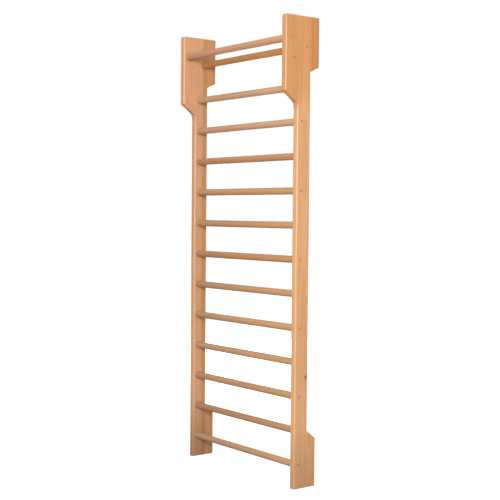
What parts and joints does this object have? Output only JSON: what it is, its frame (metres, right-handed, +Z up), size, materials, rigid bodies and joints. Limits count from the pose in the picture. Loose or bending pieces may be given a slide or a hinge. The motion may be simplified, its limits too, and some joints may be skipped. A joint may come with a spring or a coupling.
{
  "type": "wall bars",
  "caption": "Wooden wall bars: two side panels with head and foot blocks, joined by evenly spaced round rungs and two offset top bars, for climbing and hanging.",
  "frame": {"origin": "bottom centre of the object's box: on the floor, midway between the side panels and midway between the head's front face and the wall face", "axes": "+X along the rungs to the right as seen by someone who faces the bars, +Y from the user to the wall, +Z up"},
  "size_m": [0.9, 0.21, 2.3],
  "materials": {
    "upright_wood": "clear satin varnish on pale softwood",
    "block_wood": "clear satin varnish on pale softwood",
    "rung_wood": "clear satin varnish on turned hardwood",
    "plug_wood": "sanded flush and varnished",
    "dowel_wood": "raw, glued",
    "screw_steel": "zinc plated",
    "sleeve_brass": "plain"
  },
  "bodies": {
    "root": {"left_upright": "upright_wood", "left_front_head_block": "block_wood", "left_rear_head_block": "block_wood", "left_foot_block": "block_wood", "left_block_dowels": "dowel_wood", "left_rung_screws": "screw_steel", "left_screw_plugs": "plug_wood", "left_wall_sleeves": "sleeve_brass", "right_upright": "upright_wood", "right_front_head_block": "block_wood", "right_rear_head_block": "block_wood", "right_foot_block": "block_wood", "right_block_dowels": "dowel_wood", "right_rung_screws": "screw_steel", "right_screw_plugs": "plug_wood", "right_wall_sleeves": "sleeve_brass", "rung_1": "rung_wood", "rung_2": "rung_wood", "rung_3": "rung_wood", "rung_4": "rung_wood", "rung_5": "rung_wood", "rung_6": "rung_wood", "rung_7": "rung_wood", "rung_8": "rung_wood", "rung_9": "rung_wood", "rung_10": "rung_wood", "rung_11": "rung_wood", "rung_12": "rung_wood", "front_top_bar": "rung_wood", "rear_top_bar": "rung_wood"}
  },
  "joints": []
}
